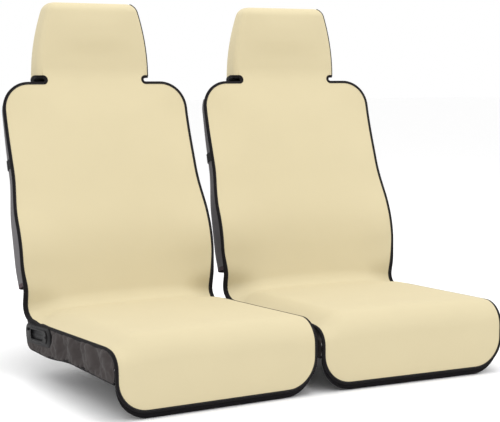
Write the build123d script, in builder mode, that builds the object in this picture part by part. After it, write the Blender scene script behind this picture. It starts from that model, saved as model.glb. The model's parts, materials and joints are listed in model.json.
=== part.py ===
"""A pair of front seat covers for a truck or car, in the shape they take on two bucket seats.

Millimetres. +X runs from the left seat to the right seat as seen from the front, +Y runs
backwards and +Z up. The origin is midway between the two seats, on the line where the seat
panels meet the back panels. The two covers are alike, so each piece is drawn once around x = 0
and then placed twice, turned a little towards the other cover.
"""

import os
from math import cos, radians, sin, tan

from build123d import *

# ---- the seats that the covers fit ----
seat_pitch = 578.0  # between the middles of the two seats, along the crease
toe_in = 2.0  # degrees that each cover faces the other
lean = 17.5  # backrest, degrees back from upright
rise = 2.0  # cushion, degrees up towards the front

# ---- cloth ----
face = 3.0  # cream neoprene face
backing = 2.0  # rubbery non-slip layer under it
edge = 8.0  # width of the folded edge binding
proud = 1.5  # the binding stands this far above and below the cloth
stretch = 2.5  # side skirts and wings
clear = 0.2  # between layers that don't touch

# ---- seat panel ----
seat_half = 264.0
seat_front = 515.0  # crease to the front face
seat_drop = 150.0  # front hem below the crease
nose_radius = 62.0
hem_corner = 80.0
crease_gap = 8.0  # seat and back panels each stop this far from the crease
band_height = 13.0  # front band, below the hem
band_thick = 6.0
band_inset = 4.0  # its ends, in from the seat panel's edge
band_top = -60.0

# ---- back panel, measured up the slope from the crease ----
waist_half = 262.0
back_half = 272.0
widest_at = 105.0
back_top = 604.0
shoulder_radius = 76.0
neck_half = 144.0
neck_top = 611.0

# ---- headrest hood ----
hood_front = 188.0
hood_depth = 100.0
hood_low = 585.0
hood_high = 786.0
hood_low_half = 163.0
hood_high_half = 125.0
hood_corner = 22.0  # at the top, from the front
hood_front_corner = 14.0  # from above
hood_rear_corner = 64.0
lining = 1.2
hood_edge = 7.0
elastic_half = 88.0
elastic_low = 604.0

# ---- side wings ----
wing_low = 82.0
wing_high = 560.0
wing_edge = back_half - 5
wing_depth = 92.0
wing_back = wing_depth + 3.0  # depth of the wing's inner end
wing_draft = 2.0  # the wing comes in this much on its way back
wing_curl = 205.0
wing_radius = 34.0
wing_hem = 12.0
hem_fold = 0.4  # the turned hem stands this far out on each face

# ---- side skirts ----
skirt_half = seat_half - 2
skirt_rear = 30.0
skirt_low = -90.0
skirt_low_middle = -88.0
skirt_low_front = -78.0
skirt_nose = 50.0

# ---- lever bezel, on the -X side of each cover ----
bezel_size = (150.0, 48.0)
bezel_corner = 16.0
bezel_centre = (-48.0, -52.0)  # y, z
bezel_lap = 6.0  # laps this far over the skirt all round
bezel_thick = 5.0
bezel_rim = 6.0
rim_proud = 2.0
lever_slot = (84.0, 22.0)
slot_corner = 9.0

# ---- webbing and buckles ----
web_width = 25.0
web = 1.6
chest_at = 390.0  # up the slope
chest_bend = 60.0
under_at = -285.0  # along Y
under_z = -74.0
under_top = -34.0
under_bend = 15.0
socket_far = 38.0
socket_near = 4.0
cavity_depth = 27.0
buckle_width = 36.0
buckle_wall = 2.2
buckle_roof = 1.0
buckle_floor = 1.0  # above the webbing
buckle_corner = 4.0
window_length = 14.0  # openings in the socket's sides, where the arms are pressed
buckle_low = -2.8
buckle_high = 8.4
tongue_base = 18.0
arm_length = 25.0
arm_width = 4.5
slip = 0.4  # running clearance in a buckle

# ---- anchor behind the crease ----
flap_half = 205.0
flap_thick = 2.0
flap_turn = (6.0, -17.0)  # y, z where it bends backwards
flap_bend = 14.0
anchor_radius = 11.0
anchor_wall = 3.5
anchor_centre = (68.5, -66.5)  # y, z

covers = {
    "left": Location((-seat_pitch / 2, 0, 0), (0, 0, toe_in)),
    "right": Location((seat_pitch / 2, 0, 0), (0, 0, -toe_in)),
}
sides = {"lever_side": -1, "plain_side": 1}
up_slope = (0, sin(radians(lean)), cos(radians(lean)))
forward = (0, -cos(radians(lean)), sin(radians(lean)))
behind = (0, cos(radians(lean)), -sin(radians(lean)))
outer_skin = face + backing + proud


def save(piece, name):
    """Each piece is drawn once, around x = 0, and belongs to both covers."""
    for cover, place in covers.items():
        placed = piece.part.moved(place)
        placed.label = f"{cover}_{name}"
        export_step(placed, f"parts/{placed.label}.step")


def seat_height(y):
    """Height of the seat panel's flat top, which climbs towards the front."""
    return -y * tan(radians(rise))


def strip(plane, corners, radius, inner, low, high):
    """The strip between two distances from a rounded path, both counted towards its inner side."""
    outer = Side.RIGHT if inner == Side.LEFT else Side.LEFT
    near, far = sorted((low, high), key=abs)
    with BuildSketch(plane) as area:
        for step in (far, near):
            if not step:
                continue
            with BuildLine():
                FilletPolyline(*corners, radius=radius)
                offset(amount=abs(step), side=inner if step > 0 else outer, closed=True)
            make_face(mode=Mode.SUBTRACT if step == near and near * far > 0 else Mode.ADD)
    return area


def middle_side(sign):
    """The side of a path running backwards that faces the middle of the cover."""
    return Side.LEFT if sign > 0 else Side.RIGHT


# ------------------------------------------------------------------ seat


def seat_slab(near, thick):
    """A layer that follows the seat's side view, from near to near + thick below its face."""
    corners = [
        (-crease_gap, seat_height(-crease_gap)),
        (-seat_front, seat_height(-seat_front)),
        (-seat_front, -seat_drop),
    ]
    section = strip(Plane.YZ.offset(-seat_half), corners, nose_radius, Side.LEFT, near, near + thick)
    with BuildPart() as slab:
        extrude(section.sketch, amount=2 * seat_half)
    return slab


def lobe(half, low, high, radius, plane):
    """A tall face with two rounded lower corners, as a front hem has."""
    with BuildSketch(plane) as outline:
        with BuildLine():
            FilletPolyline(
                (-half, high), (-half, low), (half, low), (half, high),
                radius=radius,
            )
            Line((half, high), (-half, high))
        make_face()
    return outline


def seat_outline(inset):
    """The seat panel seen from the front, standing just ahead of it."""
    ahead = Plane.XZ.offset(seat_front + 20)
    return lobe(seat_half - inset, -seat_drop + inset, 100, hem_corner - inset, ahead)


def seat_cloth():
    reach = -(seat_front + 40)
    for name, near, thick in (("panel", 0, face), ("backing", face, backing)):
        with BuildPart() as layer:
            add(seat_slab(near, thick).part)
            extrude(seat_outline(edge).sketch, amount=reach, mode=Mode.INTERSECT)
        save(layer, f"seat_{name}")

    with BuildPart() as binding:
        add(seat_slab(-proud, face + backing + 2 * proud).part)
        extrude(seat_outline(0).sketch, amount=reach, mode=Mode.INTERSECT)
        extrude(seat_outline(edge).sketch, amount=reach, mode=Mode.SUBTRACT)
    save(binding, "seat_binding")

    # A black band hangs below the front hem, just behind the cream cloth.
    band_plane = Plane.XZ.offset(seat_front - outer_skin - clear)
    with BuildPart() as band:
        low = -seat_drop - band_height
        extrude(lobe(seat_half - band_inset, low, band_top, hem_corner, band_plane).sketch, amount=-band_thick)
    save(band, "front_band")


def skirts():
    """The black stretch sides under the seat panel."""
    front = -(seat_front - outer_skin - 2 * clear - band_thick)
    under = outer_skin + clear
    for hand, sign in sides.items():
        with BuildPart() as skirt:
            with BuildSketch(Plane.YZ.offset(sign * skirt_half)):
                with BuildLine():
                    rear_top = (skirt_rear, seat_height(skirt_rear) - under)
                    front_low = (front, skirt_low_front)
                    front_top = (front, seat_height(front) - under)
                    FilletPolyline(rear_top, front_top, front_low, radius=skirt_nose)
                    ThreePointArc(front_low, (front / 2, skirt_low_middle), (skirt_rear, skirt_low))
                    Line((skirt_rear, skirt_low), rear_top)
                make_face()
                if hand == "lever_side":
                    opening = [size - 2 * bezel_lap for size in bezel_size]
                    with Locations(bezel_centre):
                        RectangleRounded(*opening, bezel_corner - bezel_lap, mode=Mode.SUBTRACT)
            extrude(amount=-sign * stretch)
        save(skirt, f"{hand}_skirt")


def lever_bezel():
    """The moulded plate around the opening for the seat's own lever."""
    rim = [size + 2 * bezel_rim for size in lever_slot]
    with BuildPart() as bezel:
        for size, corner, base, height in (
            (bezel_size, bezel_corner, 0, bezel_thick),
            (rim, slot_corner + bezel_rim - 1, bezel_thick, rim_proud),
        ):
            with BuildSketch(Plane.YZ.offset(-skirt_half - base)):
                with Locations(bezel_centre):
                    RectangleRounded(*size, corner)
                    RectangleRounded(*lever_slot, slot_corner, mode=Mode.SUBTRACT)
            extrude(amount=-height)
    save(bezel, "lever_bezel")


def anchor():
    """A flap that goes down behind the cushion, and the tube along its end that holds it there."""
    plane = Plane.YZ.offset(-flap_half)
    reach = (anchor_radius + 1) * sin(radians(45))
    end = (anchor_centre[0] - reach, anchor_centre[1] + reach)
    corners = [(clear - crease_gap, -face - backing - 1), flap_turn, end]
    with BuildPart() as flap:
        extrude(strip(plane, corners, flap_bend, Side.LEFT, 0, flap_thick).sketch, amount=2 * flap_half)
    save(flap, "anchor_flap")

    with BuildPart() as tube:
        with BuildSketch(plane):
            with Locations(anchor_centre):
                Circle(anchor_radius)
                Circle(anchor_radius - anchor_wall, mode=Mode.SUBTRACT)
        extrude(amount=2 * flap_half)
    save(tube, "anchor_tube")


# ------------------------------------------------------------------ backrest


def back_outline(inset, foot, head, depth):
    """The back panel square on, with its waist, shoulders and neck, at a depth behind its face."""
    plane = Plane(origin=(0, 0, 0), x_dir=(1, 0, 0), z_dir=forward).offset(-depth)
    top = back_top - inset
    widest = back_half - inset
    shoulder_x = back_half - shoulder_radius
    shoulder_y = back_top - shoulder_radius
    with BuildSketch(plane) as outline:
        with BuildLine():
            Line((0, foot), (waist_half - inset, foot))
            TangentArc((widest, widest_at), (waist_half - inset, foot), tangent=(0, -1))
            Line((widest, widest_at), (widest, shoulder_y))
            CenterArc((shoulder_x, shoulder_y), shoulder_radius - inset, 0, 90)
            Line((shoulder_x, top), (neck_half - inset, top))
            Line((neck_half - inset, top), (neck_half - inset, head))
            Line((neck_half - inset, head), (0, head))
            Line((0, head), (0, foot))
        make_face()
        mirror(about=Plane.YZ)
    return outline


def back_cloth():
    for name, near, thick in (("panel", 0, face), ("backing", face, backing)):
        with BuildPart() as layer:
            extrude(back_outline(edge, crease_gap, neck_top, near).sketch, amount=-thick)
        save(layer, f"back_{name}")

    whole = face + backing + 2 * proud
    with BuildPart() as binding:
        extrude(back_outline(0, crease_gap, neck_top, -proud).sketch, amount=-whole)
        opening = back_outline(edge, crease_gap - 2, neck_top + 2, -proud - 1)
        extrude(opening.sketch, amount=-whole - 2, mode=Mode.SUBTRACT)
    save(binding, "back_binding")


def across_back(up):
    """A plane square to the slope: local y is the depth behind the back panel's face."""
    origin = (0, up * up_slope[1], up * up_slope[2])
    return Plane(origin=origin, x_dir=(1, 0, 0), z_dir=up_slope)


def wing_corners(sign):
    """Back along the seat's side, then in behind it, as (x, depth)."""
    return [
        (sign * wing_edge, outer_skin + clear),
        (sign * (wing_edge - wing_draft), wing_depth),
        (sign * wing_curl, wing_back),
    ]


def wing_slab(sign, up, height, low, high):
    """A length of wing whose cloth lies from low to high, counted inwards from its outer face."""
    section = strip(across_back(up), wing_corners(sign), wing_radius, middle_side(sign), low, high)
    with BuildPart() as slab:
        extrude(section.sketch, amount=height)
    return slab


def wings():
    """Grey stretch wings that hold the sides of the backrest, with a dark hem at their foot."""
    for hand, sign in sides.items():
        foot = wing_low + wing_hem
        save(wing_slab(sign, foot, wing_high - foot, 0, stretch), f"{hand}_wing")
    with BuildPart() as hems:
        for sign in sides.values():
            add(wing_slab(sign, wing_low, wing_hem, -hem_fold, stretch + hem_fold).part)
    save(hems, "wing_hems")


# ------------------------------------------------------------------ straps and buckles


def buckle(name, plane):
    """A side-release buckle. Local x runs along the webbing, z out of it; the webbing is at z = 0."""
    half = buckle_width / 2
    roof = buckle_high - buckle_roof
    floor = web / 2 + buckle_floor
    with BuildPart() as socket:
        with BuildSketch(plane.offset(buckle_low)):
            with Locations((-(socket_far + socket_near) / 2, 0)):
                RectangleRounded(socket_far - socket_near, buckle_width, buckle_corner)
        extrude(amount=buckle_high - buckle_low)
        with BuildSketch(plane.offset(floor)):
            with Locations((-socket_near - cavity_depth / 2, 0)):
                Rectangle(cavity_depth, buckle_width - 2 * buckle_wall)
            with Locations((-socket_near - cavity_depth / 2, 0)):
                Rectangle(window_length, buckle_width + 2)
        extrude(amount=roof - floor, mode=Mode.SUBTRACT)
    save(socket, f"{name}_socket")

    base_start = -socket_near + slip
    with BuildPart() as tongue:
        with BuildSketch(plane.offset(buckle_low)):
            with Locations((base_start + tongue_base / 2, 0)):
                Rectangle(tongue_base, buckle_width)
        extrude(amount=buckle_high - buckle_low)
        tunnel = Plane(origin=plane.origin, x_dir=plane.y_dir, z_dir=plane.x_dir).offset(base_start)
        with BuildSketch(tunnel):
            Rectangle(web_width + 2 * slip, web + 2 * slip)
        extrude(amount=tongue_base, mode=Mode.SUBTRACT)
        with BuildSketch(plane.offset(floor + slip)):
            arm_middle = half - buckle_wall - slip - arm_width / 2
            with Locations(*[(base_start - arm_length / 2, y) for y in (-arm_middle, 0, arm_middle)]):
                Rectangle(arm_length, arm_width)
        extrude(amount=roof - floor - 2 * slip)
    save(tongue, f"{name}_tongue")


def strap_end(sign):
    """The lever side's webbing stops at the socket, the plain side's inside the tongue."""
    return -socket_far - clear if sign < 0 else 0.0


def chest_strap():
    """Webbing outside the wings and across the open back."""
    plane = across_back(chest_at - web_width / 2)
    for hand, sign in sides.items():
        corners = [*wing_corners(sign), (strap_end(sign), wing_back)]
        section = strip(plane, corners, [wing_radius, chest_bend], middle_side(sign), -clear - web, -clear)
        with BuildPart() as strap:
            extrude(section.sketch, amount=web_width)
        save(strap, f"chest_strap_{hand}")

    depth = wing_back + clear + web / 2
    middle = [chest_at * along + depth * back for along, back in zip(up_slope, behind)]
    place = Plane(origin=(0, middle[1], middle[2]), x_dir=(1, 0, 0), z_dir=behind)
    buckle("chest", place)


def under_strap():
    """Webbing from skirt to skirt under the cushion."""
    inside = skirt_half - stretch - clear
    bottom = under_z - web / 2
    plane = Plane.XZ.offset(-under_at - web_width / 2)
    for hand, sign in sides.items():
        corners = [(sign * inside, under_top), (sign * inside, bottom), (strap_end(sign), bottom)]
        section = strip(plane, corners, under_bend, middle_side(-sign), 0, web)
        with BuildPart() as strap:
            extrude(section.sketch, amount=web_width)
        save(strap, f"under_strap_{hand}")
    buckle("under", Plane(origin=(0, under_at, under_z), x_dir=(1, 0, 0), z_dir=(0, 0, -1)))


# ------------------------------------------------------------------ hood


def hood_plan(inset, low):
    """The headrest seen from above: nearly square in front, well rounded behind."""
    half = hood_low_half - inset
    front, rear = hood_front + inset, hood_front + hood_depth - inset
    radii = [hood_front_corner - inset, hood_rear_corner - inset]
    with BuildSketch(Plane.XY.offset(low)) as plan:
        with BuildLine():
            FilletPolyline((0, front), (half, front), (half, rear), (0, rear), radius=radii)
            Line((0, rear), (0, front))
        make_face()
        mirror(about=Plane.YZ)
    return plan


def hood_block(inset, low):
    """The headrest's own block, stepped in by inset, from low to its top."""
    slant = (hood_low_half - hood_high_half) / (hood_high - hood_low)
    top = hood_high - inset
    low_half = hood_low_half - inset + slant * (hood_low - low)
    high_half = hood_low_half - inset - slant * (top - hood_low)
    with BuildPart() as block:
        with BuildSketch(Plane.XZ.offset(-hood_front)):
            with BuildLine():
                FilletPolyline(
                    (-low_half, low), (-high_half, top), (high_half, top), (low_half, low),
                    radius=hood_corner - inset,
                )
                Line((low_half, low), (-low_half, low))
            make_face()
        extrude(amount=-hood_depth, both=True)
        extrude(hood_plan(inset, low).sketch, amount=top - low, mode=Mode.INTERSECT)
    return block


def hood():
    hem = hood_low + hood_edge
    below = hood_low - 5
    for name, outer in (("panel", 0), ("lining", face)):
        inner = outer + (face if name == "panel" else lining)
        with BuildPart() as shell:
            add(hood_block(outer, hem).part)
            add(hood_block(inner, below).part, mode=Mode.SUBTRACT)
        save(shell, f"hood_{name}")

    with BuildPart() as binding:
        add(hood_block(-proud, hood_low).part)
        add(hood_block(face + lining, below).part, mode=Mode.SUBTRACT)
        split(bisect_by=Plane.XY.offset(hem), keep=Keep.BOTTOM)
    save(binding, "hood_binding")

    rear = hood_front + hood_depth - face - lining
    with BuildPart() as elastic:
        with BuildSketch(Plane.XZ.offset(-rear)):
            with Locations((0, elastic_low + web_width / 2)):
                RectangleRounded(2 * elastic_half, web_width, 3)
        extrude(amount=web)
    save(elastic, "hood_elastic")


os.makedirs("parts", exist_ok=True)
seat_cloth()
skirts()
lever_bezel()
anchor()
under_strap()
back_cloth()
wings()
chest_strap()
hood()
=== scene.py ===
"""Looks of the pair of seat covers: cloth, bindings, straps, materials, light and camera.

Each piece is drawn once in its cover's own frame: the origin is on the crease, x runs across,
y backwards and z up, in metres. Each cover is then put where its recline joint says.
"""

import json
from math import atan2, ceil, cos, exp, hypot, pi, radians, sin, sqrt, tan

import bpy
from mathutils import Matrix, Vector


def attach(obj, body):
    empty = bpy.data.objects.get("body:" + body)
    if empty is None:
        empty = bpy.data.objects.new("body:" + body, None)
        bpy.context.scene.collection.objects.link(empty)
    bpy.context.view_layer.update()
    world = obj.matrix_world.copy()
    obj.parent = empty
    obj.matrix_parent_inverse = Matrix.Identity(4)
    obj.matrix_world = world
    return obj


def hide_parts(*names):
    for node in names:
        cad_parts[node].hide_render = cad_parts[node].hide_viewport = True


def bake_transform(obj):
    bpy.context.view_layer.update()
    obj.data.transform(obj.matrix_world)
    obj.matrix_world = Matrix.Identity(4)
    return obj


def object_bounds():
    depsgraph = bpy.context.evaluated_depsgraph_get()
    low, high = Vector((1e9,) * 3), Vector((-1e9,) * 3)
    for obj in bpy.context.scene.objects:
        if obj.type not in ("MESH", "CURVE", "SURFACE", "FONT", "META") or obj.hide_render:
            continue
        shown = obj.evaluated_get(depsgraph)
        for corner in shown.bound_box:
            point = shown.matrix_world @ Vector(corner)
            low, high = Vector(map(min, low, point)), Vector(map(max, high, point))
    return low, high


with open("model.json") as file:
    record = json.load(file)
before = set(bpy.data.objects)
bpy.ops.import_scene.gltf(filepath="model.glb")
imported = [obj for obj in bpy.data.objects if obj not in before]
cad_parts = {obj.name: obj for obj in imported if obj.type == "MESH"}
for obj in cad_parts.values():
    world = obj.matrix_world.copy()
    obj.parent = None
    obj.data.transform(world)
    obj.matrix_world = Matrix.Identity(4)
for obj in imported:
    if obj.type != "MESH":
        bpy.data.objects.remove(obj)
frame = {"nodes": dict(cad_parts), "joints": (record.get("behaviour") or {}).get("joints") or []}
cad_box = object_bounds()

# ---- sizes, in metres
LEAN = radians(17.5)  # backrest, back from upright
RISE = radians(2.0)  # cushion, up towards the front
UP_SLOPE = Vector((0, sin(LEAN), cos(LEAN)))
BEHIND = Vector((0, cos(LEAN), -sin(LEAN)))

FACE = 0.003  # cream face of the cloth
BACKING = 0.002  # non-slip layer under it
EDGE = 0.008  # width of the folded binding
PROUD = 0.0015  # the binding stands this far above and below the cloth
TUCK = 0.004  # the cloth reaches this far into the binding
STITCH_INSET = 0.0022  # from the binding's inner edge
SKIN = FACE + BACKING + PROUD
LAYER_GAP = 0.0001
GAP = 0.0002  # between other pieces that touch

SEAT_HALF = 0.264
SEAT_FRONT = 0.515
SEAT_DROP = 0.155
NOSE_RADIUS = 0.062
HEM_CORNER = 0.080
CREASE_RADIUS = 0.055  # the cloth spans the corner in the middle of the cover
CREASE_RADIUS_EDGE = 0.020
LEVER_ROLL = (0.189, 0.027)  # from this far across, the seat cloth rolls over and drops this much
PLAIN_ROLL = (0.236, 0.006)
SEAT_CROWN = 0.007  # padding lifts the middle of the seat this much

BACK_HALF = 0.268
WAIST_HALF = 0.273
LOW_BACK_HALF = 0.278  # the backrest swells out in its lower third
BACK_TOP = 0.604
BACK_CROWN = 0.003
LUMBAR = 0.007  # the lumbar swell stands out this much in the middle
SIDE_SWELL = 0.0155
SWELL_REACH = 0.085
SHOULDER_DIP = 0.006
CREASE_TUCK = 0.024  # the cover's sides are pulled into the crease
SHOULDER_RADIUS = 0.076
NECK_BEND = 0.12
HOOD_CORD_RADIUS = 0.0016

HOOD_FRONT = 0.188
HOOD_DEPTH = 0.100
HOOD_LOW = 0.585
HOOD_HIGH = 0.786
HOOD_LOW_HALF = 0.163
HOOD_HIGH_HALF = 0.125
HOOD_FRONT_CORNER = 0.014
HOOD_REAR_CORNER = 0.062
HOOD_CROWN = 0.022
HOOD_REAR_DROP = 0.014  # its mouth hangs lower at the back
HOOD_BULGE = 0.006
HOOD_STEPS = 18  # along its front, and along its rear
HOOD_CORD_POINT = HOOD_STEPS + 5  # of a ring round the hood: on its front corner
LINING = 0.0012

WING_LOW = 0.068
WING_HIGH = 0.560
WING_EDGE = 0.262
WING_DEPTH = 0.064
WING_CURL = 0.205
WING_RADIUS = 0.034
WING_HEM = 0.012
WING_FLARE = 0.40  # share by which its foot is deeper
WING_NARROWING = 0.15  # and by which its top is less deep
STRETCH = 0.0025

SKIRT_HALF = 0.262
SKIRT_TOP_REAR = 0.010  # along the path
SKIRT_REAR = 0.036
SKIRT_FRONT = -0.5015
SKIRT_LOW = -0.097
SKIRT_LOW_FRONT = -0.083
SKIRT_REAR_ROUND = 0.030

BEZEL_SIZE = (0.170, 0.049)
BEZEL_AHEAD = 0.005
BEZEL_CENTRE = (-0.048, -0.052)  # y, z
BEZEL_TILT = radians(4.0)  # its rear end is the lower one
LEVER_SLOT = (0.084, 0.022)
RIDGE_SIZE = (0.112, 0.036)
RIDGE_AHEAD = 0.012
LIP_THICK = 0.0008

WEB_WIDTH = 0.025
WEB = 0.0016
CHEST_AT = 0.390
BUCKLE_DEPTH = 0.095  # behind the backrest's line
STRAP_BEND = 0.15
STRAP_FLAT_FROM = 0.090  # across: from here to the buckle the chest strap runs level
UNDER_AT = -0.285
UNDER_TOP = -0.034
UNDER_Z = -0.074
SOCKET_FAR = 0.038

BAND_LOW = -0.168
BAND_TOP = -0.060
BAND_THICK = 0.006
FLAP_HALF = 0.205
FLAP_THICK = 0.0016
ANCHOR_CENTRE = (0.0685, -0.0665)  # y, z
ANCHOR_RADIUS = 0.011

CREASE_FRAMES = 24  # of the skirts' cloth simulation
CREASE_GROWTH = 0.075
CREASE_LIMIT = 0.007

AZIMUTH = radians(-28.2)
ELEVATION = radians(6.05)
LENS = 93.9
DISTANCE = 3.4
AIM = (-0.002, -0.036, -0.0705)  # from the middle of the CAD box to the middle of the picture
FLOOR_GAP = 0.006  # the soft hem hangs this far below the CAD's

SEAT_PATH = SEAT_FRONT / cos(RISE)
SEAT_NOSE = SEAT_FRONT * tan(RISE)
HEM_AT = -(SEAT_PATH + SEAT_NOSE + SEAT_DROP)  # along the path from the crease
NECK_AT = HOOD_FRONT / sin(LEAN)
NECK_JOIN = 0.660  # along the path: the neck cloth ends here, on the front of the hood
NECK_JOIN_Z = NECK_JOIN - NECK_AT + HOOD_FRONT / tan(LEAN)
CLOTH_TOP = BACK_TOP - TUCK
HOOD_HEM = NECK_AT + HOOD_LOW - HOOD_FRONT / tan(LEAN)  # along the path
NOTCH_AT = HOOD_LOW_HALF - HOOD_FRONT_CORNER  # across, where the notch's round end starts
NOTCH_RADIUS = (HOOD_HEM - BACK_TOP) / 2
NOTCH_MIDDLE = (HOOD_HEM + BACK_TOP) / 2
WING_SLOPE = (BUCKLE_DEPTH - WING_DEPTH) / (WING_EDGE - STRAP_FLAT_FROM)  # its rear, per metre across
HOOD_SHOULDER = HOOD_HIGH - HOOD_CROWN


# ---- places
def cover_place(cover):
    """Where a cover stands, and how far it turns, from its recline joint."""
    joint = next(j for j in frame["joints"] if j["name"] == f"{cover}_recline")
    turn = atan2(-joint["axis"][1], -joint["axis"][0])
    return Matrix.Translation(joint["pos_m"]) @ Matrix.Rotation(turn, 4, "Z")


COVERS = {cover: cover_place(cover) for cover in ("left", "right")}


# ---- shapes of the cloth
def smooth(value, low, high):
    """0 below low, 1 above high, and a smooth rise between."""
    t = min(max((value - low) / (high - low), 0), 1)
    return t * t * (3 - 2 * t)


def path_point(s, crease_radius):
    """(y, z) on the cover's side line. s is 0 in the crease, below it on the seat, above it on the back."""
    seat_way, back_way = (cos(RISE), -sin(RISE)), (sin(LEAN), cos(LEAN))
    # Each bend: its s and (y, z), its radius and turn, and the way the path runs before and after it.
    bends = [
        (-SEAT_PATH, (-SEAT_FRONT, SEAT_NOSE), NOSE_RADIUS, pi / 2 + RISE, (0, 1), seat_way),
        (0, (0, 0), crease_radius, -(pi / 2 - LEAN + RISE), seat_way, back_way),
        (NECK_AT, (HOOD_FRONT, HOOD_FRONT / tan(LEAN)), NECK_BEND, -LEAN, back_way, (0, 1)),
    ]
    at, (y, z), radius, turn, before, after = min(bends, key=lambda bend: abs(s - bend[0]))
    reach = radius * tan(abs(turn) / 2)
    d = s - at
    if abs(d) >= reach:
        along = before if d < 0 else after
        return y + along[0] * d, z + along[1] * d
    angle = (d + reach) / (2 * reach) * abs(turn)
    side = 1 if turn > 0 else -1
    normal = (side * before[1], -side * before[0])
    forward, inward = radius * sin(angle) - reach, radius * (1 - cos(angle))
    return y + before[0] * forward + normal[0] * inward, z + before[1] * forward + normal[1] * inward


def path_normal(s, crease_radius):
    """Square to the side line, out of the seat."""
    y0, z0 = path_point(s - 0.001, crease_radius)
    y1, z1 = path_point(s + 0.001, crease_radius)
    return Vector((0, -(z1 - z0), y1 - y0)).normalized()


def half_width(s):
    """Half the width of the cover's outline at s."""
    if s < HEM_AT + HEM_CORNER:
        drop = HEM_AT + HEM_CORNER - s
        return SEAT_HALF - HEM_CORNER + sqrt(max(HEM_CORNER**2 - drop**2, 0))
    above = s - (BACK_TOP - SHOULDER_RADIUS)
    if above > 0:
        return BACK_HALF - SHOULDER_RADIUS + sqrt(max(SHOULDER_RADIUS**2 - above**2, 0))
    if s < 0.04:
        return SEAT_HALF + (WAIST_HALF - SEAT_HALF) * smooth(s, -0.07, 0.01)
    swell = 1 - smooth(s, 0.23, 0.36)
    low = WAIST_HALF + (LOW_BACK_HALF - WAIST_HALF) * smooth(s, 0.04, 0.13)
    return BACK_HALF + (low - BACK_HALF) * swell


def hump(s, middle, reach):
    """1 at the middle, and near 0 twice the reach away."""
    return exp(-(((s - middle) / reach) ** 2))


def crown(x, s):
    """How far the cloth stands out from its flat line: padding under it, and edges that roll over."""
    share = min(abs(x) / SEAT_HALF, 1)
    on_seat = smooth(-s, -0.005, 0.05) * smooth(s, -SEAT_PATH - 0.08, -SEAT_PATH + 0.05)
    roll_from, drop = PLAIN_ROLL if x > 0 else LEVER_ROLL
    seat = SEAT_CROWN * (1 - share**2) - drop * smooth(abs(x), roll_from, SEAT_HALF + 0.004)
    on_back = smooth(s, 0.02, 0.14) * smooth(-s, -0.60, -0.50)
    middle = BACK_CROWN + LUMBAR * hump(s, 0.20, SWELL_REACH)
    side = SIDE_SWELL * hump(s, 0.18, SWELL_REACH) - SHOULDER_DIP * smooth(s, 0.33, 0.48)
    at_side = smooth(abs(x), 0.10, 0.25)
    tuck = -CREASE_TUCK * hump(s, 0.012, 0.035) * smooth(abs(x), 0.16, 0.262)
    return on_seat * seat + on_back * (middle + (side - middle) * at_side) + tuck


def cloth_place(x, s):
    """(point, outward normal) on the cream face at x across and s along."""
    share = min(abs(x) / SEAT_HALF, 1) ** 3
    radius = CREASE_RADIUS + (CREASE_RADIUS_EDGE - CREASE_RADIUS) * share

    def place(px, ps):
        return Vector((px, *path_point(ps, radius))) + path_normal(ps, radius) * crown(px, ps)

    step = 0.0015
    point = place(x, s)
    across = place(x + step, s) - place(x - step, s)
    along = place(x, s + step) - place(x, s - step)
    return point, across.cross(along).normalized()


def spread(low, high, step):
    """Evenly spaced values from low to high, at most step apart."""
    count = max(1, ceil((high - low) / step))
    return [low + (high - low) * i / count for i in range(count + 1)]


def arc_spread(low, high, count):
    """Values from low to high that bunch up towards high, as heights on a round corner do."""
    return [low + (high - low) * sin(pi / 2 * i / count) for i in range(1, count + 1)]


# ---- meshes
def used_only(verts, faces, uvs):
    """The shape without the points that no face uses, and each kept point's new number."""
    used = sorted({v for face in faces for v in face})
    number = {v: k for k, v in enumerate(used)}
    faces = [tuple(number[v] for v in face) for face in faces]
    return ([verts[v] for v in used], faces, [uvs[v] for v in used]), number


def thick_sheet(rows, near, far, wrap=False, cap=False, skip=None):
    """A closed sheet. rows holds rows of (point, normal, uv); its two faces lie near and far below them.

    wrap joins each row's ends, cap fills the last row, and skip(i, j) leaves a square out.
    """
    height, width = len(rows), len(rows[0])
    under = height * width
    verts, uvs = [], []
    for depth in (near, far):
        for row in rows:
            verts += [Vector(point) - Vector(normal) * depth for point, normal, _ in row]
            uvs += [uv for _, _, uv in row]

    def at(i, j):
        return i * width + j % width

    top = []
    for i in range(height - 1):
        for j in range(width if wrap else width - 1):
            if not (skip and skip(i, j)):
                top.append((at(i, j), at(i, j + 1), at(i + 1, j + 1), at(i + 1, j)))
    if cap:
        top.append(tuple(at(height - 1, j) for j in range(width)))
    edges = {(a, b) for face in top for a, b in zip(face, face[1:] + face[:1])}
    rim = [(b, a, a + under, b + under) for a, b in sorted(edges) if (b, a) not in edges]
    faces = top + [tuple(v + under for v in reversed(face)) for face in top] + rim
    return used_only(verts, faces, uvs)[0]


def grid_rows(points, scale=1.0):
    """Rows of points as rows of (point, normal, uv), with uv measured along the grid in metres."""
    rows = []
    height, width = len(points), len(points[0])
    for i in range(height):
        row = []
        for j in range(width):
            across = points[i][min(j + 1, width - 1)] - points[i][max(j - 1, 0)]
            along = points[min(i + 1, height - 1)][j] - points[max(i - 1, 0)][j]
            normal = across.cross(along).normalized() * scale
            u = sum((points[i][k + 1] - points[i][k]).length for k in range(j))
            v = sum((points[k + 1][j] - points[k][j]).length for k in range(i))
            row.append((points[i][j], normal, (u, v)))
        rows.append(row)
    return rows


def resample(line, count):
    """count + 1 points at even distances along a line of points."""
    lengths = [0.0]
    for a, b in zip(line, line[1:]):
        lengths.append(lengths[-1] + (b - a).length)
    points = []
    k = 0
    for i in range(count + 1):
        want = lengths[-1] * i / count
        while k < len(line) - 2 and lengths[k + 1] < want:
            k += 1
        points.append(line[k].lerp(line[k + 1], (want - lengths[k]) / (lengths[k + 1] - lengths[k])))
    return points


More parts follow.
